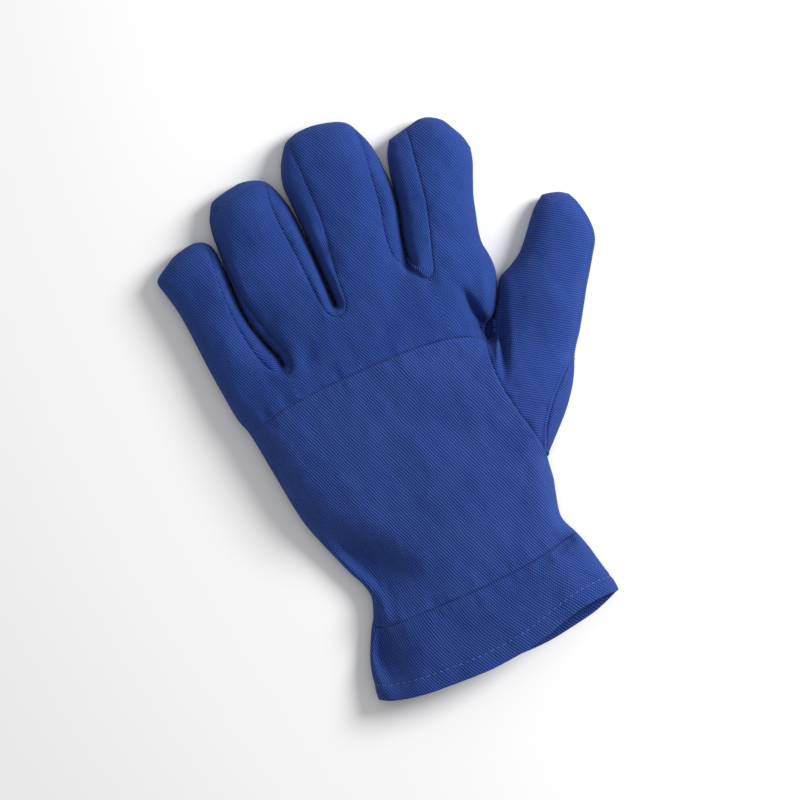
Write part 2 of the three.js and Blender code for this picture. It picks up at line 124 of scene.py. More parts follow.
# The glove's outline at its widest level, by named stretches, clockwise from the hem's left end.
junction = (48.6, 138.4)  # where the knuckle seam, the thumb seam and the thumb's crotch meet
wristRight = (53.5, 78.6)  # lower end of the thumb seam
edges = {
    "leftSide": [
        (-62, -32), (-61, -12), (-60.2, 5.6), (-59.5, 11.6), (-58.7, 17.6), (-57, 23.6), (-54, 30.6),
        (-51, 36.6), (-48.5, 40.6), (-46.6, 45.6), (-45.6, 50.6), (-47, 56.6), (-50.4, 63.6), (-54, 72.6),
        (-57.5, 81.6), (-60.6, 90.6), (-62.4, 98.6), (-64, 108.6), (-66.2, 124), (-68.6, 139.6), (-71.5, 149),
        (-73.5, 163.6), (-75, 176.6), (-76, 188.6), (-77.2, 200.6), (-78.8, 209), (-81.4, 218.5),
    ],
    "littleTip": [
        (-81.4, 218.5), (-80.8, 221.6), (-75, 225.6), (-70, 228.4), (-64, 230.1), (-59, 230.6), (-55, 229.4),
        (-52.3, 226.4), (-51, 222),
    ],
    "littleRight": [
        (-51, 222), (-50.6, 212), (-50.6, 200), (-50.15, 190.8), (-48.2, 181.8), (-45.3, 173.2), (-43, 167.4),
        (-42.3, 163.2),
    ],
    "ringLeft": [
        (-42.3, 163.2), (-42.8, 167.5), (-45.1, 173.3), (-48, 182), (-50, 191), (-50.45, 200.5), (-50.4, 212),
        (-50.1, 222), (-49.8, 230), (-48.8, 236.5), (-46.6, 241.5),
    ],
    "ringTip": [
        (-46.6, 241.5), (-44.5, 244.6), (-40, 246.3), (-33, 247.7), (-28, 248.1), (-22, 246.6), (-18, 244.1),
        (-15.7, 240.5),
    ],
    "ringRight": [
        (-15.7, 240.5), (-14, 236), (-12, 228), (-10.8, 215), (-10.35, 205), (-10.15, 195), (-9.95, 187),
        (-9.85, 182.5), (-9.8, 179.5),
    ],
    "middleLeft": [
        (-9.8, 179.5), (-9.7, 182.5), (-9.8, 187), (-10, 195), (-10.2, 205), (-10.45, 215), (-10.9, 226),
        (-11.3, 234), (-11.2, 240.5), (-8.6, 248.5), (-4.4, 255.4),
    ],
    "middleTip": [
        (-4.4, 255.4), (-2, 257.6), (3, 259.4), (8, 259.9), (13, 259.6), (20, 258.1), (25, 256.1),
        (27.8, 253.6), (30, 249.4),
    ],
    "middleRight": [
        (30, 249.4), (32.6, 243), (34.2, 234.6), (34.5, 228.6), (34.9, 220.6), (34.1, 212.6), (32.3, 204.6),
        (30.3, 197.6), (29.2, 192), (28.6, 187.5), (28.4, 184),
    ],
    "indexLeft": [
        (28.4, 184), (28.8, 187.5), (29.4, 192), (30.5, 197.6), (32.5, 204.6), (34.3, 212.5), (35.2, 220.6),
        (36.6, 228), (38.6, 235), (41.6, 240.4),
    ],
    "indexTip": [
        (41.6, 240.4), (46, 241.4), (52, 242.8), (58, 244), (62.8, 243), (67.7, 239.6), (70.6, 234.8),
        (73.5, 229), (74.9, 223),
    ],
    "indexRight": [
        (74.9, 223), (73.5, 217), (70.6, 209.6), (67.7, 201.9), (65.7, 194.2), (63.9, 187), (63.1, 180.6),
        (63.9, 175.6), (64.3, 170), (63.7, 165), (62.1, 160), (59.8, 154.6), (57.1, 150), (54.2, 147.3),
        (51.3, 146.4), (49, 144.9), (48.1, 141.8), junction,
    ],
    "thumbLeft": [
        junction, (51.3, 138.9), (53.1, 140.7), (54.3, 143.4), (55.6, 146.8), (57.3, 149.9), (60, 154.5),
        (62.5, 160), (65.2, 163.3), (70.4, 165.6), (76, 169), (80, 172.8), (84, 177.6), (88, 182.6), (92, 187),
        (97, 190.6),
    ],
    "thumbTip": [(97, 190.6), (101, 189.9), (105, 188.6), (108.4, 186.4)],
    "thumbRight": [
        (108.4, 186.4), (110.5, 182), (112.3, 175), (112.8, 168), (111.6, 162.2), (108, 156.2), (104, 150),
        (100, 144), (96.4, 138), (92.4, 131.4), (89, 126), (85.6, 121.4), (82.6, 116.6), (80, 110.6),
        (76.6, 104.4), (72, 98), (68, 93.3), (64, 89.2), (60, 85.2), (56.4, 81.6), wristRight,
    ],
    "rightSide": [
        wristRight, (53, 74.6), (52.4, 68.6), (51.2, 63.6), (50, 58.6), (49, 53.6), (49, 50), (50.2, 46.6),
        (52, 43), (53.6, 39), (55.6, 32.6), (57.5, 24.6), (59.3, 17.6), (60.3, 10.6), (61.4, -8), (62, -32),
    ],
}
edge = {name: spline(points) for name, points in edges.items()}
outline = joinLines(*edge.values(), edge["leftSide"][:1])

# Seams on the back. A finger's two side seams run from the bottom of the crotch to its tip.
uLittleRing = (-41.4, 158.7)
uRingMiddle = (-9.6, 173.9)
uMiddleIndex = (34, 174.1)
cuffLeft = closest(edge["leftSide"], (-50.6, 37.2))
cuffRight = closest(edge["rightSide"], (52.6, 41.6))
knuckleLeft = closest(edge["leftSide"], (-68.6, 139.6))
seams = {
    "cuff": [
        cuffLeft, (-47, 35.5), (-40, 34.3), (-20, 34.6), (0, 34.9), (20, 36.1), (30, 37.4), (40, 38.9),
        (47, 40.4), cuffRight,
    ],
    "knuckle": [
        knuckleLeft, (-58, 142.4), (-48, 144.6), (-30, 146.4), (-10, 147.1), (5, 147.4), (18, 147), (30, 145.6),
        (40, 143), junction,
    ],
    "thumb": [
        junction, (46.7, 134.6), (45.9, 128.6), (45.8, 120.6), (46.4, 114.6), (47.5, 108.6), (49, 101.6),
        (51, 94.6), (52.4, 88.6), (53.1, 83), wristRight,
    ],
    "thumbEdge": [
        wristRight, (54, 81), (55.6, 85.4), (58, 91), (62, 97.2), (67, 103.4), (72, 108.2), (78, 113.6),
        (82.6, 116.6),
    ],
    "littleRight": [
        uLittleRing, (-44.4, 160), (-47.6, 162.8), (-50.8, 168), (-53.2, 177), (-54.9, 188), (-55.4, 200),
        (-55, 212), (-54.2, 220), (-53.4, 226),
    ],
    "ringLeft": [
        uLittleRing, (-39.4, 160.6), (-38.3, 165.6), (-40, 172), (-42.6, 178.6), (-45.6, 188.6), (-47.8, 198.6),
        (-48.9, 210), (-49.2, 221), (-49.1, 230), (-48.3, 235), (-47, 238.8),
    ],
    "ringRight": [
        uRingMiddle, (-13, 175), (-15, 178.6), (-16, 183.6), (-16.8, 193.6), (-17.5, 203.6), (-18.5, 213.6),
        (-19.5, 224), (-19.6, 234), (-18.8, 242.6),
    ],
    "middleLeft": [
        uRingMiddle, (-6.8, 175.2), (-4.9, 178.6), (-4.5, 184.6), (-4, 193.6), (-3, 201.6), (-1.6, 211.6),
        (-1, 219), (-1, 229), (-1.2, 239), (-1.5, 249), (-1.6, 256.8),
    ],
    "middleRight": [
        uMiddleIndex, (31, 176), (28.6, 179.6), (25.2, 185.4), (23.2, 189.4), (22.8, 194), (23.2, 199),
        (24.2, 204.8), (25.5, 210.6), (26.5, 216.6), (27.2, 224), (28.2, 232), (29, 239), (29, 246),
        (28, 252.2),
    ],
    "indexLeft": [
        uMiddleIndex, (36.8, 175.8), (38.4, 179.6), (39.6, 184), (42, 192), (44.4, 200.4), (46, 207),
        (47.1, 214.4), (48.1, 221), (49.1, 229), (50.1, 236), (50.4, 241.3),
    ],
    "littleTip": [
        (-81.0, 216.8), (-80.5, 221.4), (-74.8, 225.3), (-69.8, 228), (-64, 229.7), (-59.1, 230.2),
        (-55.4, 229), (-53.4, 226),
    ],
    "ringTip": [
        (-47, 238.8), (-44, 239.9), (-38.5, 241.6), (-33, 243), (-28, 244.2), (-23.5, 244.9), (-20.6, 244.2),
        (-18.8, 242.6),
    ],
    "middleTip": [
        (-1.6, 256.8), (3.1, 259), (8, 259.5), (13, 259.2), (19.9, 257.7), (24.8, 255.7), (28, 252.2),
    ],
    "indexTip": [
        (50.4, 241.3), (54, 242.5), (58, 243.6), (62.6, 242.6), (67.4, 239.3), (70.2, 234.6), (73.1, 228.8),
        (74.3, 220.4),
    ],
}
seams["littleTip"][0] = edge["leftSide"][-3]
seams["indexTip"][-1] = edge["indexRight"][3]
seam = {name: spline(points) for name, points in seams.items()}
print("outline and seams laid out")

# The height of the back.
# The empty glove swells like a pillow: phi solves laplacian(phi) = phi / reach^2 - 1 inside the
# outline and is 0 on it, and the back's height is sideLevel + swell sqrt(phi). Up to near mm from the
# outline phi = slope x distance, with the slope spread out from inside, and over blend mm it goes over.
# It is solved on a grid in passes, from guess x reach x distance, guessTop at most.
pillow = {
    "spacing": 0.8, "reach": 18.0, "swell": 1.26, "passes": 1500, "guess": 0.6, "guessTop": 200.0,
    "near": 3.0, "blend": 4.0, "spreads": 14,
}


# True inside a closed line: a ray to the right crosses it an odd number of times.
def insideOf(points, line, chunk=6000):
    a, b = line[:-1], line[1:]
    rise = np.where(np.abs(b[:, 1] - a[:, 1]) < 1e-9, 1e-9, b[:, 1] - a[:, 1])
    result = np.empty(len(points), bool)
    for s in range(0, len(points), chunk):
        p = points[s : s + chunk]
        spans = (a[None, :, 1] > p[:, None, 1]) != (b[None, :, 1] > p[:, None, 1])
        meets = a[:, 0] + (p[:, None, 1] - a[:, 1]) / rise * (b[:, 0] - a[:, 0])
        result[s : s + chunk] = ((spans & (p[:, None, 0] < meets)).sum(1) % 2) == 1
    return result


def solvePillow():
    step = pillow["spacing"]
    low = outline.min(0) - 3 * step
    count = np.ceil((outline.max(0) + 3 * step - low) / step).astype(int) + 1
    gx, gy = low[0] + step * np.arange(count[0]), low[1] + step * np.arange(count[1])
    cells = np.stack(np.meshgrid(gx, gy), axis=-1)
    flat = cells.reshape(-1, 2)
    coarse = outline[::2]
    if not np.allclose(coarse[-1], outline[-1]):
        coarse = np.vstack([coarse, outline[-1:]])
    inside = insideOf(flat, coarse).reshape(cells.shape[:2])
    distance = nearest(flat, coarse)[0].reshape(inside.shape)
    guess = distance * pillow["reach"] * pillow["guess"]
    phi = np.where(inside, np.minimum(guess, pillow["guessTop"]), 0.0)
    k = 1.0 / (4.0 + (step / pillow["reach"]) ** 2)
    # the two lowest rows inside, below the hem, copy the next one, so that the cuff stays open
    for _ in range(pillow["passes"]):
        around = phi[2:, 1:-1] + phi[:-2, 1:-1] + phi[1:-1, 2:] + phi[1:-1, :-2]
        phi[1:-1, 1:-1] = np.where(inside[1:-1, 1:-1], k * (around + step * step), 0.0)
        phi[3] = phi[5]
        phi[4] = phi[5]
    ratio = phi / np.maximum(distance, 1e-6)
    known = inside & (distance > pillow["near"])
    spread, weight = np.where(known, ratio, 0.0), known.astype(float)
    for _ in range(pillow["spreads"]):
        for grid in (spread, weight):
            grid[1:-1, 1:-1] = (
                grid[1:-1, 1:-1] * 2 + grid[2:, 1:-1] + grid[:-2, 1:-1] + grid[1:-1, 2:] + grid[1:-1, :-2]
            ) / 6
    slope = np.where(weight > 1e-6, spread / np.maximum(weight, 1e-6), ratio)
    return {"low": low, "step": step, "phi": phi, "slope": slope}


# Bicubic reading of a grid: Catmull-Rom weights along x and y.
def readGrid(grid, low, step, points):
    q = (points - low) / step
    cell = np.clip(np.floor(q).astype(int), 1, np.array(grid.shape[::-1]) - 3)
    f = np.clip(q - cell, 0, 1)
    weights = np.stack([
        (-f + 2 * f**2 - f**3) / 2,
        (2 - 5 * f**2 + 3 * f**3) / 2,
        (f + 4 * f**2 - 3 * f**3) / 2,
        (f**3 - f**2) / 2,
    ])
    total = np.zeros(len(points))
    for i in range(4):
        for j in range(4):
            total += weights[i, :, 1] * weights[j, :, 0] * grid[cell[:, 1] + i - 1, cell[:, 0] + j - 1]
    return total


field = solvePillow()
print("pillow solved", field["phi"].shape, round(float(field["phi"].max()), 1))

# Height of the swelling along the hand, as a share: the wrist and cuff are lower.
swellAlong = np.array([
    (-30, 0.74), (10, 0.76), (36, 0.74), (50, 0.76), (75, 0.88),
    (100, 1.0), (145, 0.98), (180, 1.0), (300, 1.0),
])

# Folds of the back, one to a row: centre x and y, turn in degrees from +Y towards +X, half length
# along, half widths on the right and on the left of the line, depth in mm, less than 0 for a ridge,
# and the rim at the outline over which the fold fades out.
folds = [
    (-38, 63, -40, 22, 11, 16, 8.8, 5.6),
    (-47, 72, -38, 12, 8, 5, 3, 5.6),
    (-42.3, 43, 12, 8, 2.4, 2, -1.8, 5.6),
    (-52, 22, -8, 15, 14, 4.5, 7, 4),
    (6, 35, 84, 46, 6, 6, 1.5, 5.6),
    (49, 40, 75, 8, 2.6, 2.6, 3, 5.6),
    (38, 39, 72, 15, 4.5, 4.5, 1.5, 5.6),
    (0, 78, 75, 35, 9, 9, 1.3, 5.6),
    (47.3, 158, -10, 6, 1.5, 2.6, 3.4, 5.6),
    (48.5, 150, -8, 6, 1.7, 2.6, 6.5, 2),
    (48.9, 144.5, 4, 4.5, 2.2, 2.6, 9, 1.5),
    (50.8, 140.4, 25, 5, 2.4, 2.4, 10, 1.5),
    (56, 158, 22, 13, 4.5, 4.5, -3, 5.6),
    (54.1, 134.6, 21, 11, 2.2, 1.8, 7.5, 2),
    (50.9, 132.8, 22, 6, 1.6, 1.6, -2.4, 5.6),
    (-30, 163, 20, 9, 4, 4, 1.2, 5.6),
    (46, 86, 38, 18, 3.2, 3.2, -1.2, 5.6),
    (40, 76, 30, 16, 3.5, 3.5, 1.2, 5.6),
    (-12, 60, 62, 22, 5, 5, -0.8, 5.6),
    (20, 56, 82, 26, 4, 4, 0.8, 5.6),
]

# Soft waves over the whole back, calm near the outline: height, wavelength and seed of each.
softWaves = [(0.42, 34, 3), (0.13, 13, 5), (0.05, 5, 6)]
calmRim = 9

# A seam's groove is a narrow bell and a wide one, and its puckers are waves of several lengths along
# it, each (length / unit)^0.5 high, which start clear of the seam and fade beside it.
seamRelief = {
    "narrow": 0.7, "wide": 3.2, "wideShare": 0.6, "reach": 14, "rim": 2.0,
    "puckers": (4.6, 6.3, 8.8, 13.0), "unit": 9, "clear": 1.6, "fade": 5.0,
}

# How each seam draws the cloth down: depth of its groove and height of its puckers, in mm.
stitched = {
    "cuff": (0.45, 0.34), "knuckle": (0.4, 0.34), "thumb": (0.55, 0.38), "thumbEdge": (0.5, 0.26),
    "littleRight": (0.4, 0.24), "ringLeft": (0.4, 0.26), "ringRight": (0.45, 0.3), "middleLeft": (0.5, 0.3),
    "middleRight": (0.45, 0.3), "indexLeft": (0.45, 0.3), "littleTip": (0, 0.15), "ringTip": (0.6, 0.2),
    "middleTip": (0, 0.15), "indexTip": (0, 0.15),
}

# The welt that the side seam raises along the thumb's outer edge: a ridge, and a groove beside it.
welt = {
    "ridge": 0.5, "ridgeAt": 0.9, "ridgeWidth": 0.5,
    "groove": 0.15, "grooveAt": 2.2, "grooveWidth": 0.7, "ends": 6,
}
weltLine = joinLines(
    part(edge["thumbRight"], edge["thumbRight"][0], seams["thumbEdge"][-1]), seam["thumbEdge"][::-1]
)


# A bell of height 1: exp(-(x / width)^2).
def bell(x, width):
    return np.exp(-((x / width) ** 2))


# Smooth noise: a sum of cosines with random directions and phases about one wavelength.
def ripple(points, wavelength, seed, terms=22):
    rng = np.random.default_rng(seed)
    turn = rng.uniform(0, 2 * math.pi, terms)
    size = 2 * math.pi / (wavelength * rng.uniform(0.7, 1.5, terms))
    phase = rng.uniform(0, 2 * math.pi, terms)
    total = np.zeros(len(points))
    for a, k, p in zip(turn, size, phase):
        total += np.cos(k * (points[:, 0] * math.cos(a) + points[:, 1] * math.sin(a)) + p)
    return total / math.sqrt(terms / 2)


# Height of the back at points of the plan: the pillow, less its folds, drawn down along the seams.
# The outline itself stays exactly at the side level.
def backHeight(points):
    distance = nearest(points, outline)[0]
    low, step = field["low"], field["step"]
    inner = readGrid(field["phi"], low, step, points)
    outer = readGrid(field["slope"], low, step, points) * distance
    mix = np.clip((distance - pillow["near"]) / pillow["blend"], 0, 1)
    mix = mix * mix * (3 - 2 * mix)
    phi = np.maximum(outer * (1 - mix) + inner * mix, 0)
    share = np.interp(points[:, 1], swellAlong[:, 0], swellAlong[:, 1])
    height = pillow["swell"] * np.sqrt(phi) * share
    for x, y, degrees, along, right, left, depth, rim in folds:
        turn = math.radians(degrees)
        dx, dy = points[:, 0] - x, points[:, 1] - y
        u = (dx * math.sin(turn) + dy * math.cos(turn)) / along
        v = dx * math.cos(turn) - dy * math.sin(turn)
        v = v / np.where(v > 0, right, left)
        height -= depth * np.exp(-u * u - v * v) * np.minimum(distance / rim, 1)
    waves = sum(size * ripple(points, wavelength, seed) for size, wavelength, seed in softWaves)
    height += np.clip(distance / calmRim, 0, 1) * waves
    for index, (name, (groove, pucker)) in enumerate(stitched.items()):
        gap, run = nearest(points, seam[name])
        close = gap < seamRelief["reach"]
        g, r = gap[close], run[close]
        wave = np.zeros(len(g))
        rng = np.random.default_rng(40 + index)
        for length in seamRelief["puckers"]:
            phase = rng.uniform(0, 6.28)
            wave += np.cos(2 * math.pi * r / length + phase) * (length / seamRelief["unit"]) ** 0.5
        wide = seamRelief["wideShare"] * groove * bell(g, seamRelief["wide"])
        dip = groove * bell(g, seamRelief["narrow"]) + wide
        crest = pucker * wave * 0.5 * (1 - bell(g, seamRelief["clear"])) * bell(g, seamRelief["fade"])
        height[close] -= (dip - crest) * np.minimum(distance[close] / seamRelief["rim"], 1)
    gap, run = nearest(points, weltLine)
    ends = np.clip(np.minimum(run, lengths(weltLine)[-1] - run) / welt["ends"], 0, 1)
    ridge = welt["ridge"] * bell(gap - welt["ridgeAt"], welt["ridgeWidth"])
    height += ends * (ridge - welt["groove"] * bell(gap - welt["grooveAt"], welt["grooveWidth"]))
    return sideLevel + np.maximum(height, 0)


# Height of the palm's side: a quarter ellipse from the side level down to the floor, turnUp mm wide.
turnUp = 6.5


def frontHeight(points):
    distance = nearest(points, outline)[0]
    e = 1 - np.clip(distance / turnUp, 0, 1)
    return sideLevel * (1 - np.sqrt(np.maximum(1 - e * e, 0)))


# Patches and pieces.

# Spacing towards the sides that stand upright: cosine at both, at one, or even.
def eased(leftUpright, rightUpright):
    if leftUpright and rightUpright:
        return lambda t: (1 - np.cos(math.pi * t)) / 2
    if leftUpright:
        return lambda t: 1 - np.cos(math.pi * t / 2)
    if rightUpright:
        return lambda t: np.sin(math.pi * t / 2)
    return lambda t: t


# Coons patch between four lines: (1-v) bottom + v top + (1-u) left + u right - the corners' bilinear.
def coons(bottom, top, left, right):
    u = (lengths(bottom) / lengths(bottom)[-1])[None, :, None]
    v = np.linspace(0, 1, len(left))[:, None, None]
    corners = (1 - v) * ((1 - u) * bottom[0] + u * bottom[-1]) + v * ((1 - u) * top[0] + u * top[-1])
    ruled = (1 - v) * bottom[None] + v * top[None] + (1 - u) * left[:, None] + u * right[:, None]
    return ruled - corners


# The faces of a grid of rows x columns, with normals along du x dv.
def gridFaces(rows, columns):
    j, i = np.meshgrid(np.arange(rows - 1), np.arange(columns - 1), indexing="ij")
    a = j * columns + i
    return np.stack([a, a + 1, a + 1 + columns, a + columns], axis=-1).reshape(-1, 4)


# Running sums of steps along an axis of a grid, from 0.
def running(steps, axis):
    return np.concatenate([np.zeros_like(np.take(steps, [0], axis)), np.cumsum(steps, axis=axis)], axis=axis)


# One patch of cloth: places, faces and a cloth coordinate in mm, with the twill, at an angle in
# degrees, along its first axis. lean turns the axis across which a panel's cloth is laid out. Over the
# last tip mm of a finger the coordinate grows with the fall of the cloth, from nothing over tipFade.
tipFade = 6


def patch(places, degrees, flip=False, lean=0.0, tip=0.0):
    rows, columns = places.shape[:2]
    faces = gridFaces(rows, columns)
    if flip:
        faces = faces[:, ::-1]
    turn = math.radians(lean)
    across = places[..., 0] * math.cos(turn) - places[..., 1] * math.sin(turn)
    along = places[..., 0] * math.sin(turn) + places[..., 1] * math.cos(turn)
    stepX, stepZ = np.diff(across, axis=1), np.diff(places[..., 2], axis=1)
    run = running(np.sign(stepX) * np.hypot(stepX, stepZ), 1)
    middle = columns // 2
    extra = run - run[:, middle : middle + 1] + across[:, middle : middle + 1] - across
    for _ in range(rows):  # evened out along the panel, so that a dent doesn't bend the weave
        extra[1:-1] = 0.5 * extra[1:-1] + 0.25 * (extra[2:] + extra[:-2])
    if tip:
        near = np.clip((tip - along[-1:] + along) / tipFade, 0, 1)[1:]
        rise, fall = np.diff(along, axis=0), np.diff(places[..., 2], axis=0) * near
        along = along + running(np.hypot(rise, fall) - np.abs(rise), 0)
    cloth = np.stack([across + extra, along], axis=-1)
    return {"places": places.reshape(-1, 3), "faces": faces, "cloth": turned(cloth.reshape(-1, 2), degrees)}


# Turns cloth coordinates so that the twill, at an angle from their first axis, runs along it.
def turned(cloth, degrees):
    a = math.radians(degrees)
    u, v = cloth[:, 0], cloth[:, 1]
    return np.stack([u * math.cos(a) + v * math.sin(a), v * math.cos(a) - u * math.sin(a)], axis=1)


# Length down each column of a grid, from its first row.
def fallOf(places):
    return running(np.linalg.norm(np.diff(places, axis=0), axis=2), 0)


# Cloth coordinates of a band: the running length of one of its lines, and the fall across it.
def bandCloth(run, fall, degrees):
    return turned(np.stack([np.broadcast_to(run, fall.shape), fall], axis=-1).reshape(-1, 2), degrees)


# Evens out a grid of heights: each inner place moves towards the mean of its neighbours.
def relaxed(places, passes):
    for _ in range(passes):
        around = places[2:, 1:-1] + places[:-2, 1:-1] + places[1:-1, 2:] + places[1:-1, :-2]
        places[1:-1, 1:-1, 2] = 0.5 * places[1:-1, 1:-1, 2] + 0.125 * around[..., 2]
    return places


# A grid on the plan raised to a height, as rows x columns x 3.
def raised(plan, height, passes=2):
    z = height(plan.reshape(-1, 2)).reshape(plan.shape[:2])
    return relaxed(np.dstack([plan, z]), passes)


# An object in the scene.
def newObject(name, data):
    thing = bpy.data.objects.new(name, data)
    bpy.context.scene.collection.objects.link(thing)
    return thing


# Joins patches into one object; the wall grows inwards from the outer face.
weldDistance = 0.00002


def makePiece(name, patches, material, nodes, thickness=clothThickness):
    places, faces, cloth, start = [], [], [], 0
    for item in patches:
        places.append(item["places"])
        faces.append(item["faces"] + start)
        cloth.append(item["cloth"])
        start += len(item["places"])
    places, faces, cloth = np.vstack(places), np.vstack(faces), np.vstack(cloth)
    places = (places - np.array([*origin, 0.0])) * 0.001
    mesh = bpy.data.meshes.new(name)
    mesh.vertices.add(len(places))
    mesh.vertices.foreach_set("co", places.astype(np.float32).ravel())
    mesh.loops.add(faces.size)
    mesh.loops.foreach_set("vertex_index", faces.astype(np.int32).ravel())
    mesh.polygons.add(len(faces))
    mesh.polygons.foreach_set("loop_start", np.arange(0, faces.size, 4, dtype=np.int32))
    mesh.update(calc_edges=True)
    layer = mesh.uv_layers.new(name="cloth")
    layer.data.foreach_set("uv", cloth[faces.ravel()].astype(np.float32).ravel())
    mesh.polygons.foreach_set("use_smooth", np.ones(len(faces), bool))
    mesh.validate()
    piece = newObject(name, mesh)
    join = piece.modifiers.new("join", "WELD")
    join.merge_threshold = weldDistance
    if thickness:
        thick = piece.modifiers.new("cloth", "SOLIDIFY")
        thick.thickness = thickness * 0.001
        thick.offset = -1
        thick.use_even_offset = False
    mesh.materials.append(material)
    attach(piece, "root")
    if nodes:
        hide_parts(*nodes)
    print("piece", name, len(places))


# Seam allowance: a strip under a seam. Its height is the back's less a drop, from top at the seam to
# drop at the strip's sides, so that nothing shows between two panels. It stops trim short of the
# seam's ends, follows the seam only where that is rim inside the outline, and stays inset inside it.
allowance = {"width": 1.8, "top": 0.3, "drop": 1.25, "trim": 3.0, "rim": 1.5, "inset": 0.6}


def seamAllowance(name):
    line = seam[name]
    run = lengths(line)
    inside = nearest(line, outline)[0] > allowance["rim"]
    line = line[(run > allowance["trim"]) & (run < run[-1] - allowance["trim"]) & inside]
    width = np.minimum(nearest(line, outline)[0] - allowance["inset"], allowance["width"])
    step = np.gradient(line, axis=0)
    normal = np.stack([-step[:, 1], step[:, 0]], axis=1) / np.linalg.norm(step, axis=1, keepdims=True)
    t = np.array([-1, -0.5, -0.2, 0, 0.2, 0.5, 1])
    plan = line[:, None] + normal[:, None] * (width[:, None] * t)[..., None]
    places = raised(plan, backHeight, 0)
    places[..., 2] -= allowance["top"] + (allowance["drop"] - allowance["top"]) * np.minimum(np.abs(t) * 2, 1)
    return patch(places, 0, flip=True)


# The cloth's material.
drill = {
    "pitch": 1.14,
    "fingerPitch": 1.1,
    "thumbPitch": 1.05,
    "bump": 0.9,
    "fingerBump": 0.7,
    "thumbBump": 0.8,
    "light": (0.053, 0.11, 0.362, 1),
    "dark": (0.0004, 0.0155, 0.156, 1),
    "fingerLight": (0.0416, 0.09, 0.337, 1),
    "fingerDark": (0.0004, 0.0191, 0.148, 1),
    "thumbLight": (0.0398, 0.0831, 0.302, 1),
    "thumbDark": (0.006, 0.0285, 0.195, 1),
    "cuffLight": (0.0495, 0.103, 0.352, 1),
    "cuffDark": (0.0004, 0.0125, 0.138, 1),
    "lint": (0.07, 0.13, 0.45, 1),
}


# Sets a node's inputs, or links those that are given as another node's outputs.
def fillInputs(tree, node, inputs):
    for name, item in inputs.items():
        if isinstance(item, bpy.types.NodeSocket):
            tree.links.new(item, node.inputs[name])
        else:
            node.inputs[name].default_value = item


# A new node of a tree, with its settings and inputs.
def newNode(tree, kind, inputs=None, **settings):
    node = tree.nodes.new(kind)
    for key, value in settings.items():
        setattr(node, key, value)
    fillInputs(tree, node, inputs or {})
    return node


# A new material; values gives the inputs of its shader, or makes them from its tree.
def newMaterial(name, values):
    material = bpy.data.materials.new(name)
    material.use_nodes = True
    tree = material.node_tree
    fillInputs(tree, tree.nodes["Principled BSDF"], values(tree) if callable(values) else values)
    return material


# Twill weave: ribs rib = 0.5 + 0.5 sin(2 pi v / pitch + wobble) across the cloth's second axis, each
# broken into floats by float = 0.5 + 0.5 sin(2 pi (u / floatPitch + v / (2 pitch)) + floatWobble wobble),
# so that a yarn stands up by rib (0.5 + 0.5 float). Each grain is a noise: scale per mm, detail, stretch.
weaving = {
    "floatPitch": 1.15, "wobble": 7.0, "floatWobble": 0.7, "fuzzHeight": 0.55,
    "yarnTone": 0.95, "fuzzTone": 0.22, "streakTone": 0.3, "slubTone": 0.25,
    "lintFrom": 0.62, "lintGain": 1.6, "roughness": 0.84, "fuzzRoughness": 0.12,
}
grain = {
    "wobble": (0.16, 3.0), "fuzz": (2.6, 4.0, (1.0, 2.2, 1.0)), "streak": (0.5, 3.0, (0.12, 2.6, 1.0)),
    "slub": (0.055, 3.0), "lint": (0.9, 5.0),
}
finish = {
    "bumpDepth": 0.0004, "specular": 0.12,
    "sheen": 0.08, "sheenRoughness": 0.5, "sheenTint": (0.45, 0.55, 0.9, 1),
}


# A mix of two colours, which are the inputs 6 and 7 of that data type.
def mixColours(tree, factor, first, second):
    values = {"Factor": factor, 6: first, 7: second}
    return newNode(tree, "ShaderNodeMix", values, data_type="RGBA").outputs[2]


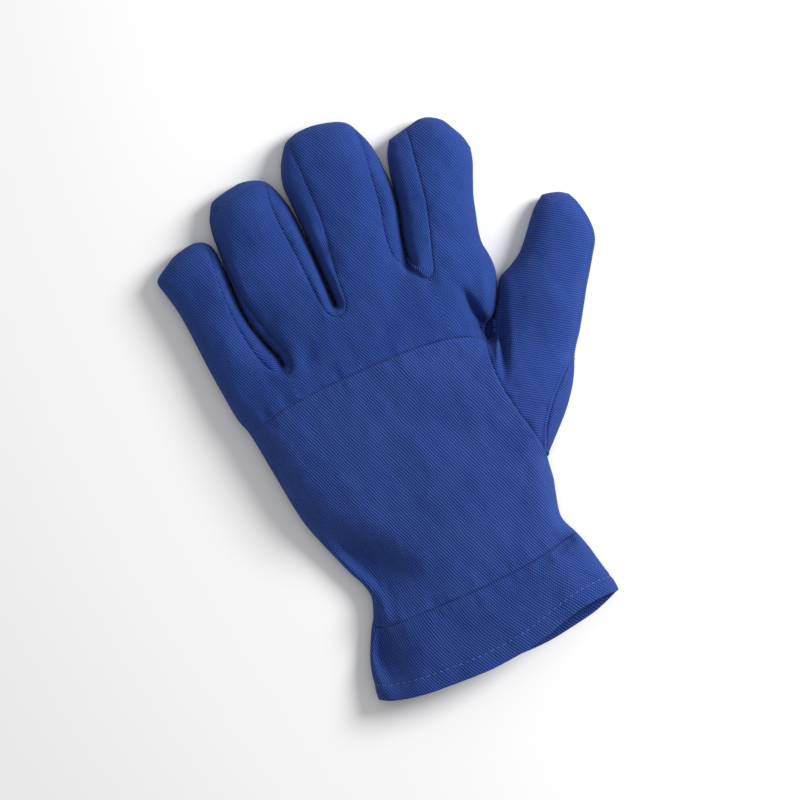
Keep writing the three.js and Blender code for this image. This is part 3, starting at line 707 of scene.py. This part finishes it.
def weaveGroup():
    group = bpy.data.node_groups.new("drillWeave", "ShaderNodeTree")
    group.interface.new_socket("Pitch", in_out="INPUT", socket_type="NodeSocketFloat")
    group.interface.new_socket("Light", in_out="INPUT", socket_type="NodeSocketColor")
    group.interface.new_socket("Dark", in_out="INPUT", socket_type="NodeSocketColor")
    group.interface.new_socket("Lint", in_out="INPUT", socket_type="NodeSocketColor")
    group.interface.new_socket("Color", in_out="OUTPUT", socket_type="NodeSocketColor")
    group.interface.new_socket("Height", in_out="OUTPUT", socket_type="NodeSocketFloat")
    group.interface.new_socket("Roughness", in_out="OUTPUT", socket_type="NodeSocketFloat")
    inputs = group.nodes.new("NodeGroupInput")
    output = group.nodes.new("NodeGroupOutput")
    uv = newNode(group, "ShaderNodeUVMap", uv_map="cloth")
    split = newNode(group, "ShaderNodeSeparateXYZ", inputs={"Vector": uv.outputs["UV"]})

    def mathNode(operation, a, b=0.0, c=0.0, clamp=False):
        values = {0: a, 1: b, 2: c}
        return newNode(group, "ShaderNodeMath", values, operation=operation, use_clamp=clamp).outputs[0]

    def noise(scale, detail, stretch=None):
        vector = uv.outputs["UV"]
        if stretch:
            factors = {0: vector, 1: stretch}
            vector = newNode(group, "ShaderNodeVectorMath", factors, operation="MULTIPLY").outputs[0]
        values = {"Vector": vector, "Scale": scale, "Detail": detail}
        return newNode(group, "ShaderNodeTexNoise", values).outputs["Fac"]

    def centred(value, size):
        return mathNode("MULTIPLY", mathNode("SUBTRACT", value, 0.5), size)

    wobble = centred(noise(*grain["wobble"]), weaving["wobble"])
    turns = mathNode("DIVIDE", split.outputs["Y"], inputs.outputs["Pitch"])
    ribAngle = mathNode("ADD", mathNode("MULTIPLY", turns, 2 * math.pi), wobble)
    rib = mathNode("MULTIPLY_ADD", mathNode("SINE", ribAngle), 0.5, 0.5)
    floatRun = mathNode("DIVIDE", split.outputs["X"], weaving["floatPitch"])
    floatTurns = mathNode("ADD", floatRun, mathNode("MULTIPLY", turns, 0.5))
    floatWobble = mathNode("MULTIPLY", wobble, weaving["floatWobble"])
    floatAngle = mathNode("MULTIPLY_ADD", floatTurns, 2 * math.pi, floatWobble)
    floats = mathNode("MULTIPLY_ADD", mathNode("SINE", floatAngle), 0.5, 0.5)
    yarn = mathNode("MULTIPLY", rib, mathNode("MULTIPLY_ADD", floats, 0.5, 0.5))
    fuzz = noise(*grain["fuzz"])
    height = mathNode("ADD", yarn, mathNode("MULTIPLY", fuzz, weaving["fuzzHeight"]))
    tone = mathNode("MULTIPLY_ADD", yarn, weaving["yarnTone"], mathNode("MULTIPLY", fuzz, weaving["fuzzTone"]))
    tone = mathNode("ADD", tone, centred(noise(*grain["streak"]), weaving["streakTone"]))
    tone = mathNode("ADD", tone, centred(noise(*grain["slub"]), weaving["slubTone"]), clamp=True)
    mixed = mixColours(group, tone, inputs.outputs["Dark"], inputs.outputs["Light"])
    lint = mathNode("SUBTRACT", noise(*grain["lint"]), weaving["lintFrom"], clamp=True)
    lint = mathNode("MULTIPLY", lint, weaving["lintGain"], clamp=True)
    colour = mixColours(group, lint, mixed, inputs.outputs["Lint"])
    roughness = mathNode("MULTIPLY_ADD", fuzz, weaving["fuzzRoughness"], weaving["roughness"])
    fillInputs(group, output, {"Color": colour, "Height": height, "Roughness": roughness})
    return group


weave = weaveGroup()


# One cloth: the weave at a pitch in mm, between two colours, with a bump of a given strength.
def clothMaterial(name, pitch, strength, light, dark):
    def values(tree):
        look = tree.nodes.new("ShaderNodeGroup")
        look.node_tree = weave
        fillInputs(tree, look, {"Pitch": pitch, "Light": light, "Dark": dark, "Lint": drill["lint"]})
        relief = {"Height": look.outputs["Height"], "Strength": strength, "Distance": finish["bumpDepth"]}
        return {
            "Base Color": look.outputs["Color"],
            "Roughness": look.outputs["Roughness"],
            "Normal": newNode(tree, "ShaderNodeBump", relief).outputs["Normal"],
            "Specular IOR Level": finish["specular"],
            "Sheen Weight": finish["sheen"],
            "Sheen Roughness": finish["sheenRoughness"],
            "Sheen Tint": finish["sheenTint"],
        }

    return newMaterial(name, values)


fingerTones = (drill["fingerLight"], drill["fingerDark"])
mainCloth = clothMaterial("drillMain", drill["pitch"], drill["bump"], drill["light"], drill["dark"])
fingerCloth = clothMaterial("drillFingers", drill["fingerPitch"], drill["fingerBump"], *fingerTones)
gussetCloth = clothMaterial("drillGusset", drill["thumbPitch"], drill["fingerBump"], *fingerTones)
thumbTones = (drill["thumbLight"], drill["thumbDark"])
thumbCloth = clothMaterial("drillThumb", drill["thumbPitch"], drill["thumbBump"], *thumbTones)
cuffCloth = clothMaterial("drillCuff", drill["pitch"], drill["bump"], drill["cuffLight"], drill["cuffDark"])

# The panels: the angle of each one's twill in degrees, the lean of the thumb's axis, and the length of
# a fingertip over which the cloth follows the fall.
twill = {
    "hand": -66, "fingers": -64, "cuff": -61, "palm": 62, "gusset": 24, "cap": 0,
    "thumbBack": 6, "thumbFront": -14, "thumbStrip": -75, "web": 14,
}
thumbLean, tipReach = 39, 14
fingers = ("little", "ring", "middle", "index")
crotches = (
    ("little", "ring", uLittleRing), ("ring", "middle", uRingMiddle), ("middle", "index", uMiddleIndex),
)

# The back of the hand, from the cuff seam to the knuckle seam. Its right side is the outline up to
# the thumb seam and then the thumb seam.
fingerBacks = {"columns": 44, "sideColumns": 60, "stripRows": 26, "fingerRows": 100}
thumb = {"columns": 96, "rows": 130, "sideRows": 56, "stripRows": 10}
backHand = {"sideRows": 34, "columns": 2 * (fingerBacks["columns"] + fingerBacks["sideColumns"])}
both = eased(True, True)


def foot(point):
    return crossing(seam["knuckle"], 0, point[0])


# The knuckle seam in four stretches, one under each finger.
feet = [knuckleLeft, foot(uLittleRing), foot(uRingMiddle), foot(uMiddleIndex), np.array(junction)]
bottoms = {}
for index, name in enumerate(fingers):
    ease = eased(name == "little", name == "index")
    columns = fingerBacks["sideColumns" if name in ("little", "index") else "columns"]
    bottoms[name] = spaced(part(seam["knuckle"], feet[index], feet[index + 1]), columns, ease)
thumbSeamPoints = spaced(seam["thumb"], thumb["columns"], both)
backRows = backHand["sideRows"] + thumb["columns"]
plan = coons(
    spaced(seam["cuff"], backHand["columns"], both),
    joinLines(*bottoms.values()),
    spaced(part(edge["leftSide"], cuffLeft, knuckleLeft), backRows),
    joinLines(
        spaced(part(edge["rightSide"], cuffRight, wristRight), backHand["sideRows"]), thumbSeamPoints[::-1]
    ),
)
backPatches = [patch(raised(plan, backHeight), twill["hand"])]
backPatches += [seamAllowance(name) for name in ("cuff", "knuckle", "thumb")]
makePiece("backHand", backPatches, mainCloth, ["back_hand_panel"])

# The four finger backs with the strip above the knuckle seam: four patches side by side that share
# the lines from the knuckle seam up to each crotch.
rootHeight, rightRootPoint = 156, (61, 158.6)
leftRoot = crossing(edge["leftSide"], 1, rootHeight)
rightRoot = closest(edge["indexRight"], rightRootPoint)
stripRows, fingerRows = fingerBacks["stripRows"], fingerBacks["fingerRows"]
leftLines = {
    "little": joinLines(
        spaced(part(edge["leftSide"], knuckleLeft, leftRoot), stripRows),
        spaced(part(edge["leftSide"], leftRoot, seams["littleTip"][0]), fingerRows),
    ),
}
rightLines = {
    "index": joinLines(
        spaced(part(edge["indexRight"], junction, rightRoot), stripRows),
        spaced(part(edge["indexRight"], rightRoot, seams["indexTip"][-1]), fingerRows),
    ),
}
for before, after, point in crotches:
    shared = spaced(np.array([foot(point), point]), stripRows)
    rightLines[before] = joinLines(shared, spaced(seam[before + "Right"], fingerRows))
    leftLines[after] = joinLines(shared, spaced(seam[after + "Left"], fingerRows))
patches, tipPoints = [], {}
for name in fingers:
    ease = eased(name == "little", name == "index")
    tipPoints[name] = spaced(seam[name + "Tip"], len(bottoms[name]) - 1, ease)
    plan = coons(bottoms[name], tipPoints[name], leftLines[name], rightLines[name])
    patches.append(patch(raised(plan, backHeight), twill["fingers"], tip=tipReach))
for name in ("littleRight", "ringLeft", "ringRight", "middleLeft", "middleRight", "indexLeft", "ringTip"):
    patches.append(seamAllowance(name))
makePiece("backFingers", patches, fingerCloth, ["back_finger_panel"])

# Gussets: bands from the seams on the back, down round the crotch, to the outline at the side level.
# Each is rolled up by bulge x peak w^1.5 (1-w)^0.5, level at its seam; peak makes the highest place 1.
gussets = {"rows": 20, "bulge": 2.3, "peak": 3.08}
gussetNodes = ("gusset_little_ring", "gusset_ring_middle", "gusset_middle_index")


# A band between two lines, drawn from the first to the second: p = (1-w) first + w second.
def band(first, second, rows, ease):
    w = ease(np.linspace(0, 1, rows + 1))[:, None, None]
    return (1 - w) * first[None] + w * second[None]


# A band's patch, with cloth coordinates from a line's running length and the fall.
def bandPatch(places, line, degrees, flip=False):
    piece = patch(places, 0, flip=flip)
    piece["cloth"] = bandCloth(lengths(line), fallOf(places), degrees)
    return piece


for node, (before, after, _) in zip(gussetNodes, crotches):
    leftName, rightName = before + "Right", after + "Left"
    upper = joinLines(spaced(seam[leftName][::-1], fingerRows), spaced(seam[rightName], fingerRows))
    lower = joinLines(spaced(edge[leftName], fingerRows), spaced(edge[rightName], fingerRows))
    plan = band(upper, lower, gussets["rows"], eased(False, True))
    places = raised(plan, backHeight, 1)
    w = np.sin(np.linspace(0, math.pi / 2, plan.shape[0]))[:, None]
    taper = np.sqrt(np.sin(np.linspace(0, math.pi, plan.shape[1])))[None, :]
    places[..., 2] += gussets["bulge"] * gussets["peak"] * w**1.5 * np.sqrt(1 - w) * taper
    name = "gusset" + before.capitalize() + after.capitalize()
    piece = bandPatch(places, upper, twill["gusset"])
    makePiece(name, [piece], gussetCloth, [node])

# The palm with the fronts of the fingers, turned up to the side level, and the caps that it forms
# over the fingertips up to the seams on the back.
palm = {"columns": 34, "handRows": 90, "fingerRows": 70, "capRows": 8, "endColumns": 8, "narrowing": 0.85}
rows, tipRows = palm["handRows"], palm["fingerRows"]
leftLines = {
    "little": joinLines(
        spaced(part(edge["leftSide"], cuffLeft, leftRoot), rows),
        spaced(part(edge["leftSide"], leftRoot, edge["littleTip"][0]), tipRows),
    ),
}
thumbSide = joinLines(
    part(edge["rightSide"], cuffRight, wristRight),
    seam["thumb"][::-1],
    part(edge["indexRight"], junction, rightRoot),
)
rightLines = {
    "index": joinLines(
        spaced(thumbSide, rows), spaced(part(edge["indexRight"], rightRoot, edge["indexTip"][-1]), tipRows)
    ),
}
feet = [cuffLeft]
for before, after, _ in crotches:
    point = edge[after + "Left"][0]
    feet.append(crossing(seam["cuff"], 0, palm["narrowing"] * point[0]))
    shared = spaced(np.array([feet[-1], point]), rows)
    rightLines[before] = joinLines(shared, spaced(edge[before + "Right"][::-1], tipRows))
    leftLines[after] = joinLines(shared, spaced(edge[after + "Left"], tipRows))
feet.append(cuffRight)
patches = []
for index, name in enumerate(fingers):
    bottom = spaced(part(seam["cuff"], feet[index], feet[index + 1]), palm["columns"], both)
    top = spaced(edge[name + "Tip"], palm["columns"], both)
    plan = coons(bottom, top, leftLines[name], rightLines[name])
    patches.append(patch(raised(plan, frontHeight, 0), twill["palm"], flip=True))
endGap = 0.5  # a cap that starts or ends further than this from its line's end gets a straight end
for name in fingers:
    upper = tipPoints[name]
    lowerLine = edge[name + "Tip"]
    if name == "little":
        lowerLine = joinLines(part(edge["leftSide"], seams["littleTip"][0], edge["leftSide"][-1]), lowerLine)
    if name == "index":
        side = part(edge["indexRight"], edge["indexRight"][0], seams["indexTip"][-1])
        lowerLine = joinLines(lowerLine, side)
    beside = nearest(upper[[0, -1]], lowerLine)[1]
    if name != "little" and beside[0] > endGap:
        upper = joinLines(spaced(np.array([lowerLine[0], upper[0]]), palm["endColumns"]), upper)
    if name != "index" and lengths(lowerLine)[-1] - beside[1] > endGap:
        upper = joinLines(upper, spaced(np.array([upper[-1], lowerLine[-1]]), palm["endColumns"]))
    lower = alongside(upper, lowerLine)
    plan = band(upper, lower, palm["capRows"], eased(False, True))
    patches.append(bandPatch(raised(plan, backHeight, 1), lower, twill["cap"]))
makePiece("palmFront", patches, mainCloth, ["palm_panel"])

# The thumb's two halves. The back one ends on the side seam near the wrist and at the outline
# beyond; the front one is turned up to the outline and, near the wrist, over it to the side seam.
edgeEnd = seam["thumbEdge"][-1]
outer = part(edge["thumbRight"], edgeEnd, edge["thumbRight"][0])
backRight = joinLines(
    spaced(seam["thumbEdge"], thumb["sideRows"]), spaced(outer, thumb["rows"] - thumb["sideRows"])
)
thumbTop = spaced(edge["thumbTip"], thumb["columns"], both)
thumbLeft = spaced(edge["thumbLeft"], thumb["rows"])
plan = coons(thumbSeamPoints, thumbTop, thumbLeft, backRight)
back = patch(raised(plan, backHeight), twill["thumbBack"], lean=thumbLean, tip=tipReach)
makePiece("thumbBack", [back], thumbCloth, ["thumb_back_panel"])
plan = coons(thumbSeamPoints, thumbTop, thumbLeft, spaced(edge["thumbRight"][::-1], thumb["rows"]))
front = patch(raised(plan, frontHeight, 0), twill["thumbFront"], flip=True, lean=thumbLean)
upper = spaced(seam["thumbEdge"], thumb["sideRows"])
lower = spaced(part(edge["thumbRight"], wristRight, edgeEnd), thumb["sideRows"])
plan = band(upper, lower, thumb["stripRows"], eased(False, True))
strip = bandPatch(raised(plan, backHeight, 1), lower, twill["thumbStrip"], flip=True)

# The cloth that hangs between the index finger and the thumb at the bottom of their crotch.
web = {"count": 30, "rows": 12, "hang": 3.7, "top": (57.2, 150)}
indexSide = spaced(part(edge["indexRight"], web["top"], junction), web["count"])
thumbSide = spaced(part(edge["thumbLeft"], web["top"], junction), web["count"])
plan = band(indexSide, thumbSide, web["rows"], eased(True, True))
w = (1 - np.cos(np.linspace(0, math.pi, web["rows"] + 1))) / 2
hanging = np.dstack([plan, sideLevel - web["hang"] * np.sin(math.pi * w)[:, None] * np.ones(plan.shape[:2])])
frontPatches = [front, strip, patch(hanging, twill["web"]), seamAllowance("thumbEdge")]
makePiece("thumbFront", frontPatches, thumbCloth, ["thumb_front_panel"])

# The cuff: an outer layer over the back and under the palm, turned in at the hem.
cuff = {
    "rows": 66, "turnRows": 6, "hemDepth": 9.0, "ply": 1.5, "thickness": 0.8,
    "stitchLine": 6.8, "welt": 0.25, "fade": 0.9, "groove": 1.2, "grooveWidth": 0.8,
}
hemTop = [
    (-60.2, 5.6), (-55, 3.6), (-50, 2.4), (-40, 0.9), (-30, 0.3), (-10, 0), (0, 0.6), (5, 1.2), (15, 2.8),
    (25, 5.5), (32, 7.6), (40, 9.6), (47, 10.7), (55, 11), (60.3, 10.6),
]
hemBottom = [
    (-60.2, 5.6), (-55, 3.9), (-50, 2.8), (-40, 1.4), (-30, 0.7), (-10, 0.1), (0, 0.1), (8, 0.1), (17, 0.2),
    (25, 0.9), (35, 2.6), (45, 4.6), (50, 6.1), (55, 8), (60.3, 10.6),
]
hemLeft = closest(edge["leftSide"], hemTop[0])
hemRight = closest(edge["rightSide"], hemTop[-1])
hemTop[0] = hemBottom[0] = hemLeft
hemTop[-1] = hemBottom[-1] = hemRight
leftLine = spaced(part(edge["leftSide"], hemLeft, cuffLeft), cuff["rows"])
rightLine = spaced(part(edge["rightSide"], hemRight, cuffRight), cuff["rows"])
seamLine = spaced(seam["cuff"], backHand["columns"], both)
layers = []
for hem, height in ((hemTop, backHeight), (hemBottom, frontHeight)):
    plan = coons(spaced(spline(hem), backHand["columns"], both), seamLine, leftLine, rightLine)
    layers.append(raised(plan, height, 2 if height is backHeight else 0))
loop = np.concatenate([layers[0], layers[1][:, -2:0:-1]], axis=1)
loop = np.concatenate([loop, loop[:, :1]], axis=1)
outerRows = loop[::-1]


# Normals of a closed band of rows: the cross product of its steps along and across.
def bandNormals(grid):
    du = np.roll(grid[:, :-1], -1, axis=1) - np.roll(grid[:, :-1], 1, axis=1)
    dv = np.gradient(grid[:, :-1], axis=0)
    normal = np.cross(dv, du)
    normal = np.concatenate([normal, normal[:, :1]], axis=1)
    for _ in range(3):
        inner = normal[:, :-1]
        mean = 0.5 * inner + 0.25 * (np.roll(inner, 1, axis=1) + np.roll(inner, -1, axis=1))
        normal = np.concatenate([mean, mean[:, :1]], axis=1)
    return normal / np.maximum(np.linalg.norm(normal, axis=2, keepdims=True), 1e-9)


# The hem is proud by welt up to its stitched line, which is drawn in by a groove of groove x welt.
normals = bandNormals(outerRows)
fromHem = fallOf(outerRows[::-1])[::-1]
beyond = fromHem - cuff["stitchLine"]
relief = 1 / (1 + np.exp(beyond / cuff["fade"])) - cuff["groove"] * bell(beyond, cuff["grooveWidth"])
relief = cuff["welt"] * relief
outerRows = outerRows + normals * relief[..., None]
row = (fromHem > cuff["stitchLine"]).sum(0) - 1
column = np.arange(outerRows.shape[1])
here, there = fromHem[row, column], fromHem[row + 1, column]
share = ((here - cuff["stitchLine"]) / (here - there))[:, None]
hemStitchLine = outerRows[row, column] * (1 - share) + outerRows[row + 1, column] * share
hemStitchNormals = normals[row, column]
hemRow, hemNormal = outerRows[-1:], normals[-1:]
outward = outerRows[-1:] - outerRows[-2:-1]
outward /= np.linalg.norm(outward, axis=2, keepdims=True)
angles = np.linspace(0, math.pi, cuff["turnRows"] + 2)[1:-1][:, None, None]
turn = hemRow - hemNormal * cuff["ply"] / 2 * (1 - np.cos(angles)) + outward * cuff["ply"] / 2 * np.sin(angles)
depthOf = np.linalg.norm(outerRows - hemRow, axis=2)[:, backHand["columns"] // 2]
innerRows = (outerRows - normals * cuff["ply"])[::-1]
innerRows = innerRows[depthOf[::-1] < cuff["hemDepth"]]
sheet = np.concatenate([outerRows, turn, innerRows])
sheet[..., 2] = np.maximum(sheet[..., 2], 0)
cuffPatch = patch(sheet, 0, flip=True)
steps = np.diff(sheet, axis=0)
steps[: cuff["rows"], :, 2] = 0  # a dent doesn't bend the weave
cuffRun = running(np.linalg.norm(steps, axis=2), 0)
cuffPatch["cloth"] = bandCloth(lengths(sheet[cuff["rows"] // 2]), -cuffRun, twill["cuff"])
makePiece("cuffBand", [cuffPatch], cuffCloth, ["cuff_band"], cuff["thickness"])

# Stitches: short capsules along a line, with radius r (1 - s^4)^0.5 for s from -1 to 1 along each, but
# no less than at 1 - s^4 = blunt, and lifted by lift - dive s^4.
stitch = {
    "pitch": 3.1, "length": 2.3, "radius": 0.25, "rings": 7, "sides": 8,
    "blunt": 0.1, "lift": 0.14, "dive": 0.35,
}


def stitchRow(line, normal):
    run = lengths(line)
    count, rings, sides = int(run[-1] / stitch["pitch"]), stitch["rings"], stitch["sides"]
    s = np.linspace(-1, 1, rings)
    at = ((np.arange(count) + 0.5) * run[-1] / count)[:, None] + s * stitch["length"] / 2
    place = np.stack([np.interp(at, run, line[:, k]) for k in range(3)], axis=-1)
    up = np.stack([np.interp(at, run, normal[:, k]) for k in range(3)], axis=-1)
    ahead = np.gradient(place, axis=1)
    ahead /= np.linalg.norm(ahead, axis=2, keepdims=True)
    side = np.cross(up, ahead)
    side /= np.linalg.norm(side, axis=2, keepdims=True)
    radius = stitch["radius"] * np.sqrt(np.maximum(1 - s**4, stitch["blunt"]))
    place = place + up * (stitch["lift"] - stitch["dive"] * s**4)[None, :, None]
    angle = np.linspace(0, 2 * math.pi, sides, endpoint=False)[None, None, :, None]
    places = place[:, :, None] + radius[None, :, None, None] * (
        np.cos(angle) * side[:, :, None] + np.sin(angle) * up[:, :, None]
    )
    j, i = np.meshgrid(np.arange(rings - 1), np.arange(sides), indexing="ij")
    a, b = j * sides + i, j * sides + (i + 1) % sides
    tube = np.stack([a, a + sides, b + sides, b], axis=-1).reshape(-1, 4)
    cap = np.array([(0, 1, 2, 3), (0, 3, 4, 7), (4, 5, 6, 7)])
    one = np.vstack([tube, cap, cap[:, ::-1] + (rings - 1) * sides])
    faces = (one[None] + (np.arange(count) * rings * sides)[:, None, None]).reshape(-1, 4)
    cloth = np.stack([np.broadcast_to(at[..., None], places.shape[:3]), places[..., 2]], axis=-1)
    places[..., 2] = np.maximum(places[..., 2], 0)
    return {"places": places.reshape(-1, 3), "faces": faces, "cloth": cloth.reshape(-1, 2)}


# Thread: a plied twist, as slanting bands across each stitch.
thread = {
    "colour": (0.066, 0.128, 0.41, 1), "shade": 0.6, "turns": 0.9, "uneven": 1.5,
    "bump": 0.5, "bumpDepth": 0.0001, "roughness": 0.7,
}


def threadLook(tree):
    uv = newNode(tree, "ShaderNodeUVMap", uv_map="cloth").outputs["UV"]
    bands = {"Vector": uv, "Scale": thread["turns"], "Distortion": thread["uneven"]}
    twist = newNode(tree, "ShaderNodeTexWave", bands, bands_direction="DIAGONAL").outputs["Fac"]
    shade = tuple(thread["shade"] * c for c in thread["colour"][:3]) + (1,)
    relief = {"Height": twist, "Strength": thread["bump"], "Distance": thread["bumpDepth"]}
    return {
        "Base Color": mixColours(tree, twist, shade, thread["colour"]),
        "Normal": newNode(tree, "ShaderNodeBump", relief).outputs["Normal"],
        "Roughness": thread["roughness"],
    }


threadCloth = newMaterial("stitchThread", threadLook)
makePiece("hemStitches", [stitchRow(hemStitchLine, hemStitchNormals)], threadCloth, [], None)
print("panels and stitches built")

# The stage.
stage = {
    "floor": (0.97, 0.97, 0.97, 1), "roughness": 0.9, "size": 6.0,
    "sky": (1, 1, 1, 1), "skyStrength": 0.4,
}
floorMesh = bpy.data.meshes.new("floor")
half = stage["size"] / 2
corners = [(-half, -half, 0), (half, -half, 0), (half, half, 0), (-half, half, 0)]
floorMesh.from_pydata(corners, [], [(0, 1, 2, 3)])
floor = newObject("floor", floorMesh)
floorMaterial = newMaterial("paleFloor", {"Base Color": stage["floor"], "Roughness": stage["roughness"]})
floorMesh.materials.append(floorMaterial)

world = bpy.data.worlds.new("studio")
bpy.context.scene.world = world
world.use_nodes = True
background = world.node_tree.nodes["Background"]
fillInputs(world.node_tree, background, {"Color": stage["sky"], "Strength": stage["skyStrength"]})
bpy.context.scene.view_settings.view_transform = "Standard"

# The camera looks straight down, turned so that the fingers lean to the left in the picture. The
# lights stand to its right and above, as the picture shows them, and shine at the frame's origin.
# width is what the picture spans at backAt above the floor.
view = {
    "turn": 22.4, "centre": (-0.01498, -0.0017), "height": 1.6,
    "width": 0.3655, "backAt": 0.01, "sensor": 36,
}
turnAngle = math.radians(view["turn"])
rightward = np.array([math.cos(turnAngle), -math.sin(turnAngle)])
upward = np.array([math.sin(turnAngle), math.cos(turnAngle)])
lights = {
    "key": {"right": 0.8, "up": 0.42, "height": 0.62, "size": 0.5, "power": 14},
    "top": {"right": 0, "up": 0.4, "height": 1.5, "size": 1.2, "power": 2},
}
for name, light in lights.items():
    data = bpy.data.lights.new(name, "AREA")
    data.shape = "DISK"
    data.size = light["size"]
    data.energy = light["power"]
    lamp = newObject(name, data)
    x, y = rightward * light["right"] + upward * light["up"]
    lamp.location = (x, y, light["height"])
    lamp.rotation_euler = (math.atan2(math.hypot(x, y), light["height"]), 0, math.atan2(-y, -x) - math.pi / 2)

cameraData = bpy.data.cameras.new("camera")
cameraData.sensor_width = view["sensor"]
cameraData.lens = view["sensor"] * (view["height"] - view["backAt"]) / view["width"]
camera = newObject("camera", cameraData)
camera.location = (view["centre"][0], view["centre"][1], view["height"])
camera.rotation_euler = (0, 0, -turnAngle)
bpy.context.scene.camera = camera
